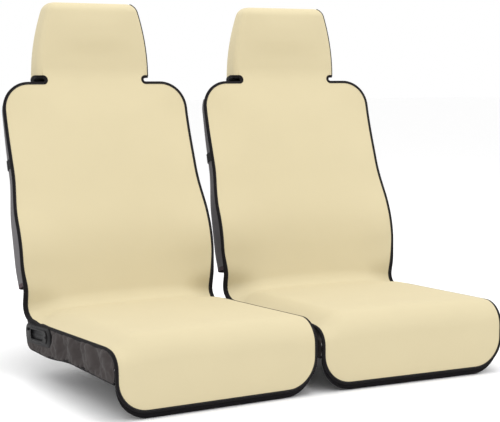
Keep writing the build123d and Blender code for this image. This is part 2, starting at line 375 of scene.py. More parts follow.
def tape_section(width, low, high, corner=0.0022):
    """A rounded rectangle as (outward, up) pairs: outward from -width to 0, up from low to high."""
    points = []
    for ox, oz, start in ((-corner, high - corner, 90), (-corner, low + corner, 0),
                          (corner - width, low + corner, -90), (corner - width, high - corner, -180)):
        for step in range(4):
            angle = radians(start - 30 * step)
            points.append((ox + corner * cos(angle), oz + corner * sin(angle)))
    return points


def sweep(frames, *sections):
    """A solid along frames of (point, out, up). A section is (out, up) pairs; one serves all frames."""
    if len(sections) == 1:
        sections *= len(frames)
    verts, uvs, faces = [], [], []
    length = 0.0
    size = len(sections[0])
    around = [0.0]
    for a, b in zip(sections[0], sections[0][1:]):
        around.append(around[-1] + hypot(b[0] - a[0], b[1] - a[1]))
    for i, ((point, out, up), section) in enumerate(zip(frames, sections)):
        if i:
            length += (Vector(point) - Vector(frames[i - 1][0])).length
        for k, (o, u) in enumerate(section):
            verts.append(Vector(point) + Vector(out) * o + Vector(up) * u)
            uvs.append((around[k], length))
    last = (len(frames) - 1) * size
    for i in range(0, last, size):
        for k in range(size):
            n = (k + 1) % size
            faces.append((i + k, i + size + k, i + size + n, i + n))
    faces.append(tuple(range(size)))
    faces.append(tuple(reversed(range(last, last + size))))
    return verts, faces, uvs


def way_at(points, i):
    """The direction of a line of points at its point i."""
    return (points[min(i + 1, len(points) - 1)] - points[max(i - 1, 0)]).normalized()


def path_frames(points, up_of):
    """(point, out, up) along a line of points, where out is square to the line and to up."""
    frames = []
    for i, point in enumerate(points):
        along = way_at(points, i)
        out = along.cross(up_of(i)).normalized()
        frames.append((point, out, out.cross(along).normalized()))
    return frames


def rounded_line(corners, radii, step=0.004):
    """Points along a line of corners whose bends are arcs, in as many dimensions as the corners have."""
    corners = [Vector(c) for c in corners]
    points = [corners[0]]
    for i in range(1, len(corners) - 1):
        before = (corners[i - 1] - corners[i]).normalized()
        after = (corners[i + 1] - corners[i]).normalized()
        turn = pi - before.angle(after)
        radius = radii[i - 1]
        reach = radius * tan(turn / 2)
        middle = (before + after).normalized()
        centre = corners[i] + middle * (radius / cos(turn / 2))
        start = corners[i] + before * reach - centre
        end = corners[i] + after * reach - centre
        steps = max(2, ceil(radius * turn / step))
        for k in range(steps + 1):
            t = k / steps
            points.append(centre + (start * sin((1 - t) * turn) + end * sin(t * turn)) / sin(turn))
    points.append(corners[-1])
    full = [points[0]]
    for a, b in zip(points, points[1:]):
        pieces = max(1, ceil((b - a).length / (3 * step)))
        full += [a.lerp(b, k / pieces) for k in range(1, pieces + 1)]
    return full


# ---- materials
class Look:
    """A material's nodes, written as short expressions."""

    def __init__(self, name, color, roughness, **shader):
        self.material = bpy.data.materials.new(name)
        self.material.use_nodes = True
        self.tree = self.material.node_tree
        self.tree.nodes.clear()
        self.out = self.add("OutputMaterial")
        self.shader = self.add("BsdfPrincipled")
        self.shader.inputs["Base Color"].default_value = (*color, 1)
        self.shader.inputs["Roughness"].default_value = roughness
        for key, value in shader.items():
            self.shader.inputs[key.replace("_", " ")].default_value = value
        self.link(self.shader.outputs[0], self.out.inputs[0])
        self.coords = self.add("TexCoord")

    def add(self, kind, **settings):
        node = self.tree.nodes.new(f"ShaderNode{kind}")
        for key, value in settings.items():
            setattr(node, key, value)
        return node

    def link(self, source, target):
        self.tree.links.new(source, target)

    def feed(self, socket, value):
        if isinstance(value, (int, float)):
            socket.default_value = value
        else:
            self.link(value, socket)

    def math(self, operation, a, b=0.0):
        node = self.add("Math", operation=operation)
        self.feed(node.inputs[0], a)
        self.feed(node.inputs[1], b)
        return node.outputs[0]

    def axes(self):
        """The cloth's own two directions, in metres."""
        split = self.add("SeparateXYZ")
        self.link(self.coords.outputs["UV"], split.inputs[0])
        return split.outputs[0], split.outputs[1]

    def noise(self, size, detail=3.0):
        """Noise from 0 to 1 whose features are about size metres across."""
        node = self.add("TexNoise")
        node.inputs["Scale"].default_value = 1 / size
        node.inputs["Detail"].default_value = detail
        self.link(self.coords.outputs["Object"], node.inputs["Vector"])
        return node.outputs["Fac"]

    def wave(self, position, pitch):
        """A sine from 0 to 1 that repeats every pitch metres along position."""
        turned = self.math("SINE", self.math("MULTIPLY", position, 2 * pi / pitch))
        return self.math("ADD", self.math("MULTIPLY", turned, 0.5), 0.5)

    def tint(self, factor, low, high):
        """The base colour runs from low to high as factor goes from 0 to 1."""
        mix = self.add("Mix", data_type="RGBA")
        self.feed(mix.inputs["Factor"], factor)
        mix.inputs["A"].default_value = (*low, 1)
        mix.inputs["B"].default_value = (*high, 1)
        self.link(mix.outputs["Result"], self.shader.inputs["Base Color"])

    def rough(self, factor, low, high):
        ramp = self.add("MapRange")
        self.feed(ramp.inputs["Value"], factor)
        ramp.inputs["To Min"].default_value = low
        ramp.inputs["To Max"].default_value = high
        self.link(ramp.outputs[0], self.shader.inputs["Roughness"])

    def bump(self, height, depth):
        node = self.add("Bump")
        node.inputs["Distance"].default_value = depth
        node.inputs["Strength"].default_value = 1.0
        self.link(height, node.inputs["Height"])
        self.link(node.outputs[0], self.shader.inputs["Normal"])


def shade(color, factor):
    return tuple(c * factor for c in color)


def knit(look, wale, course, depth, variation):
    """Fine rows of stitches: a bump of wale by course metres, and slow colour changes."""
    u, v = look.axes()
    ribs = look.math("MULTIPLY", look.wave(u, wale), look.wave(v, course))
    fuzz = look.noise(0.0009, 2.0)
    look.bump(look.math("ADD", ribs, look.math("MULTIPLY", fuzz, 0.7)), depth)
    blotch = look.math("ADD", look.math("MULTIPLY", look.noise(0.09, 4.0), 0.7),
                       look.math("MULTIPLY", fuzz, 0.3))
    base = tuple(look.shader.inputs["Base Color"].default_value)[:3]
    look.tint(blotch, shade(base, 1 - variation), shade(base, 1 + variation))


def cream_cloth(name, color):
    look = Look(name, color, 0.9, Sheen_Weight=0.06, Specular_IOR_Level=0.2)
    knit(look, 0.0016, 0.0013, 0.00012, 0.025)
    return look.material


def nonslip(name, color):
    """Cloth with rows of raised rubber dots."""
    look = Look(name, color, 0.6, Specular_IOR_Level=0.4)
    u, v = look.axes()
    dots = look.math("MULTIPLY", look.wave(u, 0.006), look.wave(v, 0.006))
    raised = look.math("GREATER_THAN", dots, 0.62)
    look.bump(look.math("ADD", raised, look.math("MULTIPLY", look.noise(0.0012), 0.2)), 0.0004)
    look.tint(raised, (0.024, 0.024, 0.026), (0.055, 0.055, 0.058))
    look.rough(raised, 0.75, 0.38)
    return look.material


def ribbed(name, color, pitch, depth):
    """Woven tape: ribs across its length with a finer twill over them."""
    look = Look(name, color, 0.85, Sheen_Weight=0.03, Specular_IOR_Level=0.08)
    u, v = look.axes()
    ribs = look.wave(v, pitch)
    twill = look.wave(look.math("ADD", u, v), pitch * 0.55)
    height = look.math("ADD", ribs, look.math("MULTIPLY", twill, 0.5))
    look.bump(height, depth)
    # The colour follows the rib height: painted shade in the valleys between ribs and painted light on the
    # rib tops, varied at random by noise.
    look.tint(look.math("MULTIPLY", height, look.noise(0.012)), shade(color, 0.7), shade(color, 1.7))
    return look.material


def stretch_cloth(name, color, variation, sheen):
    look = Look(name, color, 0.86, Sheen_Weight=sheen, Sheen_Roughness=0.45, Specular_IOR_Level=0.08)
    knit(look, 0.0011, 0.0010, 0.00010, variation)
    return look.material


def moulded(name, color, roughness, grain, coat=0.0):
    """Moulded plastic: a fine grain, rubbed a little smoother in patches."""
    look = Look(name, color, roughness, Specular_IOR_Level=0.07, Coat_Weight=coat, Coat_Roughness=0.3)
    fine = look.noise(grain, 2.0)
    worn = look.noise(0.02, 3.0)
    look.bump(fine, 0.00006)
    look.rough(worn, roughness - 0.08, roughness + 0.10)
    look.tint(worn, shade(color, 0.8), shade(color, 1.3))
    return look.material


def thread(name, color):
    look = Look(name, color, 0.6, Sheen_Weight=0.1)
    u, v = look.axes()
    look.bump(look.wave(look.math("ADD", u, v), 0.0006), 0.00008)
    look.tint(look.noise(0.004), shade(color, 0.8), shade(color, 1.25))
    return look.material


LOOKS = {name: make(name, *values) for make, name, *values in (
    (cream_cloth, "cream_cloth", (0.595, 0.519, 0.335)),
    (nonslip, "nonslip_backing", (0.030, 0.030, 0.032)),
    (stretch_cloth, "hood_lining", (0.050, 0.050, 0.052), 0.2, 0.1),
    (ribbed, "black_binding", (0.009, 0.008, 0.009), 0.0012, 0.00012),
    (stretch_cloth, "black_stretch", (0.050, 0.043, 0.042), 0.28, 0.08),
    (stretch_cloth, "grey_stretch", (0.135, 0.128, 0.134), 0.10, 0.06),
    (ribbed, "dark_hem", (0.07, 0.05, 0.055), 0.0016, 0.00012),
    (ribbed, "webbing", (0.013, 0.013, 0.014), 0.0022, 0.00025),
    (ribbed, "elastic", (0.018, 0.018, 0.019), 0.0016, 0.0002),
    (moulded, "buckle_plastic", (0.014, 0.014, 0.015), 0.42, 0.0006),
    (moulded, "bezel_plastic", (0.006, 0.0055, 0.006), 0.40, 0.0008, 0.02),
    (moulded, "anchor_tube", (0.040, 0.040, 0.042), 0.75, 0.0016),
    (thread, "black_thread", (0.030, 0.029, 0.030)),
)}


def new_object(name, data):
    thing = bpy.data.objects.new(name, data)
    bpy.context.scene.collection.objects.link(thing)
    return thing


def piece(cover, name, shape, slot, body=None, nodes=(), look=None):
    """A mesh piece in its cover's place, that stands for the cover's CAD nodes and rides on its body."""
    verts, faces, uvs = shape
    mesh = bpy.data.meshes.new(f"{cover}_{name}")
    mesh.from_pydata([tuple(COVERS[cover] @ Vector(v)) for v in verts], [], faces)
    layer = mesh.uv_layers.new(name="cloth")
    for loop in mesh.loops:
        layer.data[loop.index].uv = uvs[loop.vertex_index]
    mesh.materials.append(LOOKS[look or slot])
    mesh.polygons.foreach_set("use_smooth", [True] * len(mesh.polygons))
    mesh.set_sharp_from_angle(angle=radians(45))
    thing = new_object(mesh.name, mesh)
    if nodes:
        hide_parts(*[f"{cover}_{node}" for node in nodes])
    if body:
        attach(thing, f"{cover}_{body}")
    return thing


def layers(cover, rows, flat, rests_on, hold, sheets, **grid):
    """Sheets of one shape, each on the one before. sheets holds (name, near, far, slot, nodes)."""
    for name, near, far, slot, nodes in sheets:
        sheet = piece(cover, name, thick_sheet(rows, near, far, **grid), slot, None, nodes)
        hold(sheet)


def at(cover, x, s):
    """A point of the cloth in the shared frame."""
    return tuple(COVERS[cover] @ cloth_place(x, s)[0])


def across_crease(cover, thing):
    """Cloth across the crease, from the seat up onto the backrest, baked into the shared frame and fixed to
    no body.
    """
    at(cover, 0, -0.075)
    at(cover, 0, 0.075)
    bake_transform(thing)


# ---- the one-piece seat and back cloth
def cloth_rows():
    """The s of each row, from the front hem to under the neck."""
    turn = HEM_AT + HEM_CORNER
    rows = [2 * turn - s for s in reversed(arc_spread(turn, turn + HEM_CORNER - TUCK, 12))]
    rows += spread(HEM_AT + HEM_CORNER, -SEAT_PATH - 0.06, 0.010)
    rows += spread(-SEAT_PATH - 0.055, -SEAT_PATH + 0.055, 0.005)
    rows += spread(-SEAT_PATH + 0.062, -0.062, 0.010)
    rows += spread(-0.055, 0.055, 0.0035)
    shoulder = BACK_TOP - SHOULDER_RADIUS
    rows += spread(0.062, shoulder, 0.010)
    rows += arc_spread(shoulder, CLOTH_TOP, 12)
    return rows


def cloth_grid():
    rows = []
    columns = [sin(pi / 2 * t) * 0.35 + 0.65 * t for t in spread(-1, 1, 1 / 26)]
    for s in cloth_rows():
        half = half_width(s) - TUCK
        row = []
        for c in columns:
            x = c * half
            point, normal = cloth_place(x, s)
            row.append((point, normal, (x, s)))
        rows.append(row)
    return rows


def one_piece_cloth(cover, rows):
    flat = (2 * BACK_HALF, BACK_TOP - HEM_AT)
    panels, backings = ("seat_panel", "back_panel"), ("seat_backing", "back_backing")
    sheets = (
        ("cloth", 0, FACE, "cream_cloth", panels),
        ("cloth_backing", FACE + LAYER_GAP, FACE + BACKING, "nonslip_backing", backings),
    )
    hold = lambda sheet: across_crease(cover, sheet)
    layers(cover, rows, flat, "the seat's cushion and backrest", hold, sheets)


def outline():
    """Points (x, s) of the cover's edge on the +x side, from under the hem to the notch at the neck."""
    edge = [(x, HEM_AT) for x in spread(0, SEAT_HALF - HEM_CORNER, 0.010)]
    corner = arc_spread(0, HEM_CORNER, 14)
    centre = SEAT_HALF - HEM_CORNER
    edge += [(centre + h, HEM_AT + HEM_CORNER - sqrt(max(HEM_CORNER**2 - h * h, 0))) for h in corner]
    shoulder = BACK_TOP - SHOULDER_RADIUS
    sides = spread(HEM_AT + HEM_CORNER, -0.07, 0.008)[1:] + spread(-0.066, 0.066, 0.0044)
    sides += spread(0.074, shoulder, 0.008)
    edge += [(half_width(s), s) for s in sides]
    centre = BACK_HALF - SHOULDER_RADIUS
    for step in range(1, 15):
        angle = pi / 2 * step / 14
        edge.append((centre + SHOULDER_RADIUS * cos(angle), shoulder + SHOULDER_RADIUS * sin(angle)))
    edge += [(x, BACK_TOP) for x in reversed(spread(NOTCH_AT, centre - 0.006, 0.008))]
    return edge


def edge_width(s):
    """The binding is wider round the waist, where it also takes in the side cloth."""
    return EDGE + 0.0045 * exp(-((s / 0.085) ** 4))


def one_piece_binding(cover):
    right = outline()
    loop = [(-x, s) for x, s in reversed(right)] + right[1:]
    places = [cloth_place(x, s) for x, s in loop]
    frames = path_frames([p for p, _ in places], lambda i: places[i][1])
    sections = [tape_section(edge_width(s), -SKIN, PROUD) for _, s in loop]
    tape = sweep(frames, *sections)
    nodes = ("seat_binding", "back_binding")
    across_crease(cover, piece(cover, "edge_binding", tape, "black_binding", None, nodes))
    inner = [(p - out * (edge_width(s) - STITCH_INSET) + up * PROUD, out, up)
             for (p, out, up), (_, s) in zip(frames, loop)]
    row = stitches(inner, 0.0042, 0.0028, 0.00045)
    across_crease(cover, piece(cover, "edge_stitches", row, "black_binding", look="black_thread"))


# A stitch's four rings: how far along it, how thick and how high. Its ends dive into the tape.
STITCH_RINGS = ((-0.5, 0.4, -0.3), (-0.28, 1, 0.35), (0.28, 1, 0.35), (0.5, 0.4, -0.3))


def stitches(frames, pitch, length, radius):
    """A row of short thread stitches along frames of (point, out, up)."""
    verts, uvs, faces = [], [], []
    travelled, due = 0.0, pitch / 2
    for (a, _, up_a), (b, _, up_b) in zip(frames, frames[1:]):
        span = (b - a).length
        while due <= travelled + span:
            t = (due - travelled) / span
            middle = a.lerp(b, t)
            along = (b - a).normalized()
            up = up_a.lerp(up_b, t).normalized()
            out = along.cross(up).normalized()
            start = len(verts)
            for place, size, lift in STITCH_RINGS:
                for k in range(6):
                    angle = 2 * pi * k / 6
                    ring = out * (cos(angle) * radius * size) + up * (sin(angle) * radius * size)
                    verts.append(middle + along * (length * place) + up * (radius * lift) + ring)
                    uvs.append((radius * k, due + length * place))
            for r in range(3):
                for k in range(6):
                    p = start + r * 6 + k
                    q = start + r * 6 + (k + 1) % 6
                    faces.append((p, q, q + 6, p + 6))
            faces.append(tuple(reversed(range(start, start + 6))))
            faces.append(tuple(range(start + 18, start + 24)))
            due += pitch
        travelled += span
    return verts, faces, uvs


# ---- neck and hood
def hood_half(z):
    """Half the hood's width, which bulges a little before it narrows to the top."""
    t = min(max((z - HOOD_LOW) / (HOOD_HIGH - HOOD_LOW), 0), 1)
    return HOOD_LOW_HALF + (HOOD_HIGH_HALF - HOOD_LOW_HALF) * t * t


def hood_bulge(x, z):
    """How far the padding pushes the front of the hood out."""
    rise = smooth(z, 0.640, 0.70) * (1 - smooth(z, 0.72, 0.79))
    return HOOD_BULGE * (1 - smooth(abs(x), 0.02, 0.15)) * rise


def hood_ring(z, inset, tilt):
    """(point, normal) round the hood at height z, stepped in by inset, starting at the front."""
    half = hood_half(z) - inset
    front, rear = HOOD_FRONT + inset, HOOD_FRONT + HOOD_DEPTH - inset
    near = max(HOOD_FRONT_CORNER - inset, 0.001)
    far = max(min(HOOD_REAR_CORNER - inset, 0.62 * (rear - front)), 0.001)
    # Each side: how many points, where it starts and ends, and the round corner that follows it.
    sides = [
        (HOOD_STEPS, (near - half, front), (half - near, front), (half - near, front + near), near),
        (5, (half, front + near), (half, rear - far), (half - far, rear - far), far),
        (HOOD_STEPS, (half - far, rear), (far - half, rear), (far - half, rear - far), far),
        (5, (-half, rear - far), (-half, front + near), (near - half, front + near), near),
    ]
    ring = []
    for turn, (steps, start, end, centre, radius) in enumerate(sides):
        direction = pi / 2 * (turn - 1)
        normal = Vector((round(cos(direction)), round(sin(direction)), 0))
        ahead = Vector((-normal.y, normal.x, 0))
        for i in range(steps + 1):
            ring.append((Vector((*start, z)).lerp(Vector((*end, z)), i / steps), normal))
        for k in range(1, 8):
            angle = pi / 2 * k / 8
            turned = normal * cos(angle) + ahead * sin(angle)
            ring.append((Vector((*centre, z)) + turned * radius, turned))
    bulged = []
    for point, normal in ring:
        if normal.y < -0.99 and inset < HOOD_CROWN:
            point = point + normal * hood_bulge(point.x, z)
        low = 1 - smooth(z, HOOD_LOW, HOOD_LOW + 0.06)
        point.z -= HOOD_REAR_DROP * low * smooth(point.y, HOOD_FRONT + 0.02, HOOD_FRONT + 0.085)
        bulged.append((point, (normal * cos(tilt) + Vector((0, 0, sin(tilt)))).normalized()))
    return bulged


def over_top(heights, steps):
    """(z, inset, tilt) of the hood's rings: one at each height, then steps of 8 over its round top edge."""
    levels = [(z, 0.0, 0.0) for z in heights]
    for step in range(1, steps + 1):
        tilt = pi / 2 * step / 8
        levels.append((HOOD_SHOULDER + HOOD_CROWN * sin(tilt), HOOD_CROWN * (1 - cos(tilt)), tilt))
    return levels


def hood_rows():
    """The hood's rings, up the sides, over the round top edge and in towards the middle of the top."""
    heights = spread(HOOD_LOW + TUCK, NECK_JOIN_Z, 0.0065)
    heights += spread(NECK_JOIN_Z + 0.008, HOOD_SHOULDER, 0.008)
    levels = over_top(heights, 8) + [(HOOD_HIGH, HOOD_CROWN + 0.009 * k, pi / 2) for k in range(1, 4)]
    rows = []
    for z, inset, tilt in levels:
        around = 0.0
        row = []
        last = None
        for point, normal in hood_ring(z, inset, tilt):
            around += (point - last).length if last else 0
            last = point
            row.append((point, normal, (around, z + inset)))
        rows.append(row)
    return rows, levels


def hood(cover):
    rows, levels = hood_rows()
    low = [i for i, (z, _, _) in enumerate(levels) if z < NECK_JOIN_Z - 0.001]

    def neck_gap(i, j):
        return i in low and j < HOOD_STEPS

    rounding = (4 - pi) * (HOOD_FRONT_CORNER + HOOD_REAR_CORNER)
    girth = 2 * (HOOD_LOW_HALF + HOOD_HIGH_HALF + HOOD_DEPTH) - rounding
    flat = (girth, HOOD_HIGH - HOOD_LOW)
    sheets = (
        ("hood_cloth", 0, FACE, "cream_cloth", ["hood_panel"]),
        ("hood_lining_cloth", FACE + LAYER_GAP, FACE + LINING, "hood_lining", ["hood_lining"]),
    )
    hold = lambda sheet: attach(sheet, f"{cover}_hood")
    layers(cover, rows, flat, "the seat's headrest", hold, sheets, wrap=True, cap=True, skip=neck_gap)


def hood_trim(cover):
    """The binding round the hood's mouth, from one notch round the back to the other, and a thin black cord
    down its front corner on the +x side only.
    """
    ring = hood_ring(HOOD_LOW, 0, 0)
    frames = [(point, Vector((0, 0, -1)), normal) for point, normal in ring[HOOD_STEPS:] + ring[:1]]
    tape = tape_section(EDGE, -(FACE + LINING + PROUD), PROUD)
    piece(cover, "hood_hem", sweep(frames, tape), "black_binding", "hood", ["hood_binding"])

    # A thin black cord down the hood's front corner, on the +x side only.
    heights = spread(HOOD_LOW + 0.004, HOOD_SHOULDER, 0.008)
    line = [hood_ring(*level)[HOOD_CORD_POINT] for level in over_top(heights, 6)]
    frames = path_frames([p + n * 0.0006 for p, n in line], lambda i: line[i][1])
    cord = [(HOOD_CORD_RADIUS * cos(2 * pi * k / 10), HOOD_CORD_RADIUS * sin(2 * pi * k / 10)) for k in range(10)]
    piece(cover, "hood_corner_cord", sweep(frames, cord), "black_binding", "hood")


def neck(cover):
    """The strip of cloth that joins the backrest to the hood, between two bound notches."""
    rows = []
    for s in spread(CLOTH_TOP, NECK_JOIN, 0.0029):
        y, z = path_point(s, CREASE_RADIUS)
        normal = path_normal(s, CREASE_RADIUS)
        round_end = sqrt(max((NOTCH_RADIUS + TUCK) ** 2 - (s - NOTCH_MIDDLE) ** 2, 0))
        half = hood_half(z) - HOOD_FRONT_CORNER - round_end
        across = [half * (i / 12 - 1) for i in range(25)]
        rows.append([(Vector((x, y, z)), normal, (x, s)) for x in across])
    start, end = at(cover, 0, BACK_TOP), at(cover, 0, NECK_JOIN - 0.004)
    for name, near, far, slot in (("neck_cloth", 0, FACE, "cream_cloth"),
                                  ("neck_backing", FACE + LAYER_GAP, FACE + BACKING, "nonslip_backing")):
        strip = piece(cover, name, thick_sheet(rows, near, far), slot)
        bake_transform(strip)
    tape = tape_section(EDGE, -SKIN, PROUD)
    for name, sign in (("lever_side", -1), ("plain_side", 1)):
        frames = notch_frames(sign)
        notch = piece(cover, f"notch_binding_{name}", sweep(frames, tape), "black_binding")
        at(cover, 0, HOOD_HEM)
        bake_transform(notch)


def notch_frames(sign):
    """(point, out, up) round the end of the notch on one side of the neck."""
    frames = []
    for k in range(13):
        angle = pi * k / 12
        s = NOTCH_MIDDLE - NOTCH_RADIUS * cos(angle)
        y, z = path_point(s, CREASE_RADIUS)
        y1, z1 = path_point(s + 0.001, CREASE_RADIUS)
        rise = Vector((0, y1 - y, z1 - z)).normalized()
        out = Vector((sin(angle) * sign, 0, 0)) + rise * cos(angle)
        x = NOTCH_AT - NOTCH_RADIUS * sin(angle)
        frames.append((Vector((x * sign, y, z)), out, Vector((0, -rise.z, rise.y))))
    return frames if sign > 0 else frames[::-1]


# ---- wings behind the backrest
def on_back(x, depth, s):
    return Vector((x, 0, 0)) + BEHIND * depth + UP_SLOPE * s


def wing_line(sign, s):
    """The wing's outer line at s, from under the edge binding round behind the seat."""
    edge = half_width(s) - (BACK_HALF - WING_EDGE)
    flare = WING_FLARE * (1 - smooth(s, 0.0, 0.36))
    depth = WING_DEPTH * (1 + flare - WING_NARROWING * smooth(s, 0.42, WING_HIGH))
    front = SKIN + GAP - max(crown(sign * edge, s), 0)
    turn = edge - 0.002
    corners = [(edge, front), (turn, depth), (WING_CURL, depth + WING_SLOPE * (turn - WING_CURL))]
    line = rounded_line(corners, [WING_RADIUS * depth / WING_DEPTH])
    return [on_back(sign * p.x, p.y, s) for p in line]


def wing(cover, hand, sign):
    heights = spread(WING_LOW + WING_HEM - 0.002, WING_HIGH, 0.012)
    rows = grid_rows([resample(wing_line(sign, s), 30) for s in heights], sign)
    shape = mirrored(thick_sheet(rows, 0, STRETCH), sign)
    cloth = piece(cover, f"{hand}_wing_cloth", shape, "grey_stretch", "back", [f"{hand}_wing"])


def mirrored(shape, sign):
    """The same shape with its faces turned over if sign is negative."""
    verts, faces, uvs = shape
    return (verts, faces, uvs) if sign > 0 else (verts, [tuple(reversed(f)) for f in faces], uvs)


def wing_trim(cover):
    """The turned hem at the foot of both wings."""
    shapes = []
    for sign in (-1, 1):
        line = resample(wing_line(sign, WING_LOW), 40)[::sign]
        ups = [UP_SLOPE.cross(b - a).normalized() * -1 for a, b in zip(line, line[1:])]
        frames = [(p, -UP_SLOPE, up) for p, up in zip(line, ups + ups[-1:])]
        section = tape_section(WING_HEM, -STRETCH - 0.0004, 0.0004, 0.0012)
        shapes.append(sweep(frames, section))
    piece(cover, "wing_hem_tape", joined(shapes), "dark_hem", "back", ["wing_hems"])


def joined(shapes):
    """Several (verts, faces, uvs) as one."""
    verts, faces, uvs = [], [], []
    for more_verts, more_faces, more_uvs in shapes:
        faces += [tuple(v + len(verts) for v in face) for face in more_faces]
        verts += more_verts
        uvs += more_uvs
    return verts, faces, uvs


# ---- straps
def strap(line, width_way, out_sign):
    """Flat webbing whose middle line is given; width_way is the direction of its width."""
    frames = []
    for i, point in enumerate(line):
        along = way_at(line, i)
        up = width_way.cross(along).normalized() * out_sign
        frames.append((point, along.cross(up).normalized(), up))
    section = [(o + WEB_WIDTH / 2, u) for o, u in tape_section(WEB_WIDTH, -WEB / 2, WEB / 2, WEB * 0.45)]
    return sweep(frames, section), frames


def tacking(frames, start, length):
    """A sewn box with a cross in it, on the strap's outer face, from start along it."""
    def surface(along, across):
        travelled = 0.0
        for (a, out, up), (b, _, _) in zip(frames, frames[1:]):
            span = (b - a).length
            if travelled + span >= along:
                return a.lerp(b, (along - travelled) / span) + out * across + up * (WEB / 2), up
            travelled += span
        point, out, up = frames[-1]
        return point + out * across + up * (WEB / 2), up

    half = WEB_WIDTH / 2 - 0.003
    ends = [(start, -half), (start + length, -half), (start + length, half), (start, half)]
    shapes = []
    for a, b in list(zip(ends, ends[1:] + ends[:1])) + [(ends[0], ends[2]), (ends[1], ends[3])]:
        line = [surface(a[0] + (b[0] - a[0]) * t, a[1] + (b[1] - a[1]) * t) for t in spread(0, 1, 0.1)]
        shapes.append(stitches([(p, up, up) for p, up in line], 0.0031, 0.0022, 0.00035))
    return joined(shapes)


def socket_end(sign):
    """Where each hand's webbing ends: at the socket, or inside the tongue."""
    return -SOCKET_FAR if sign < 0 else 0.0


def chest_strap(cover, hand, sign):
    gap = GAP + WEB / 2
    corners = [
        (WING_EDGE + gap, SKIN + 0.001),
        (WING_EDGE - 0.002 + gap, WING_DEPTH + gap + 0.0013),
        (STRAP_FLAT_FROM, BUCKLE_DEPTH + gap),
        (sign * socket_end(sign) + GAP, BUCKLE_DEPTH + gap),
    ]
    line = rounded_line(corners, [WING_RADIUS + gap, STRAP_BEND])
    shape, frames = strap([on_back(sign * p.x, p.y, CHEST_AT) for p in line], UP_SLOPE, sign)
    piece(cover, f"chest_webbing_{hand}", shape, "webbing", "back", [f"chest_strap_{hand}"])
    sewing = tacking(frames, 0.004, 0.022)
    piece(cover, f"chest_tacking_{hand}", sewing, "webbing", "back", look="black_thread")


def under_strap(cover, hand, sign):
    inside = sign * (SKIRT_HALF - STRETCH - GAP - WEB / 2)
    end = socket_end(sign) + sign * GAP
    corners = [(inside, UNDER_AT, UNDER_TOP), (inside, UNDER_AT, UNDER_Z), (end, UNDER_AT, UNDER_Z)]
    shape, _ = strap(rounded_line(corners, [0.015]), Vector((0, 1, 0)), sign)
    piece(cover, f"under_webbing_{hand}", shape, "webbing", "seat", [f"under_strap_{hand}"])


# ---- skirts
def skirt_low(part):
    """(y, z) on the skirt's lower edge; part goes from 0 at the rear to 1 at the front."""
    y = SKIRT_REAR + (SKIRT_FRONT - SKIRT_REAR) * part
    z = SKIRT_LOW_FRONT + (SKIRT_LOW - SKIRT_LOW_FRONT) * smooth(y, -0.27, -0.09)
    from_rear = (SKIRT_REAR - y) / SKIRT_REAR_ROUND
    if from_rear < 1:
        z += SKIRT_REAR_ROUND * (1 - sqrt(1 - (1 - from_rear) ** 2))
    return y, z


def skirt_grid(sign):
    columns = spread(0, 1, 0.0105)
    first, last = SKIRT_TOP_REAR, -SEAT_PATH - 0.052
    grid = []
    for t in spread(0, 1, 1 / 15):
        row = []
        for part in columns:
            top, normal = cloth_place(sign * SKIRT_HALF, first + (last - first) * part)
            top = top - normal * (FACE + 0.0005)
            y, z = skirt_low(part)
            row.append(Vector((sign * SKIRT_HALF, top.y + (y - top.y) * t, top.z + (z - top.z) * t)))
        grid.append(row)
    return grid


def crumple(thing, pinned):
    """The cloth wants to be a little bigger than its fixed edges allow, so it creases."""
    rest = [v.co.copy() for v in thing.data.vertices]
    group = thing.vertex_groups.new(name="held")
    group.add(pinned, 1.0, "REPLACE")
    cloth = thing.modifiers.new("cloth", "CLOTH")
    settings = dict(quality=8, mass=0.12, air_damping=4, tension_stiffness=40, compression_stiffness=40,
                    shear_stiffness=15, bending_stiffness=0.08, shrink_min=-CREASE_GROWTH,
                    vertex_group_mass=group.name)
    for name, value in settings.items():
        setattr(cloth.settings, name, value)
    cloth.settings.effector_weights.gravity = 0.0
    scene = bpy.context.scene
    cloth.point_cache.frame_start, cloth.point_cache.frame_end = 1, CREASE_FRAMES
    for step in range(1, CREASE_FRAMES + 1):
        scene.frame_set(step)
    graph = bpy.context.evaluated_depsgraph_get()
    moved = [v.co.copy() for v in thing.evaluated_get(graph).data.vertices]
    thing.modifiers.remove(cloth)
    scene.frame_set(1)
    for vertex, before, after in zip(thing.data.vertices, rest, moved):
        step = after - before
        vertex.co = before + step * min(1, CREASE_LIMIT / max(step.length, 1e-9))


def by_bezel(point, margin):
    """Whether a point of the skirt is inside the bezel's outline, let out by the margin."""
    return (abs(point.y - BEZEL_CENTRE[0]) < BEZEL_SIZE[0] / 2 + margin
            and abs(point.z - BEZEL_CENTRE[1]) < BEZEL_SIZE[1] / 2 + margin)


def skirt(cover, hand, sign):
    grid = skirt_grid(sign)
    height, width = len(grid), len(grid[0])
    has_lever = hand == "lever_side"
    verts, faces, uvs = [], [], []
    for i, row in enumerate(grid):
        for j, point in enumerate(row):
            ripple = 0.0012 * sin(31 * j / width + 5 * i / height + sign) * sin(pi * i / (height - 1))
            verts.append(point + Vector((ripple, 0, 0)))
            uvs.append((j * 0.005, i * 0.005))
    for i in range(height - 1):
        for j in range(width - 1):
            a = i * width + j
            if has_lever and by_bezel((verts[a] + verts[a + width + 1]) / 2, -0.010):
                continue
            quad = (a, a + width, a + width + 1, a + 1)
            faces.append(quad if sign > 0 else quad[::-1])
    shape, number = used_only(verts, faces, uvs)
    held = [number[i * width + j] for i in range(height) for j in range(width)
            if i * width + j in number and (i in (0, height - 1) or j in (0, width - 1))]
    held += [k for v, k in number.items() if has_lever and by_bezel(verts[v], 0.004)]
    cloth = piece(cover, f"{hand}_skirt_cloth", shape, "black_stretch", nodes=[f"{hand}_skirt"])
    crumple(cloth, held)
    solid = cloth.modifiers.new("thickness", "SOLIDIFY")
    solid.thickness = STRETCH * 0.8
    solid.offset = -1
    rounded = cloth.modifiers.new("smooth", "SUBSURF")
    rounded.levels = rounded.render_levels = 1
    settle(cloth)
    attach(cloth, f"{cover}_seat")


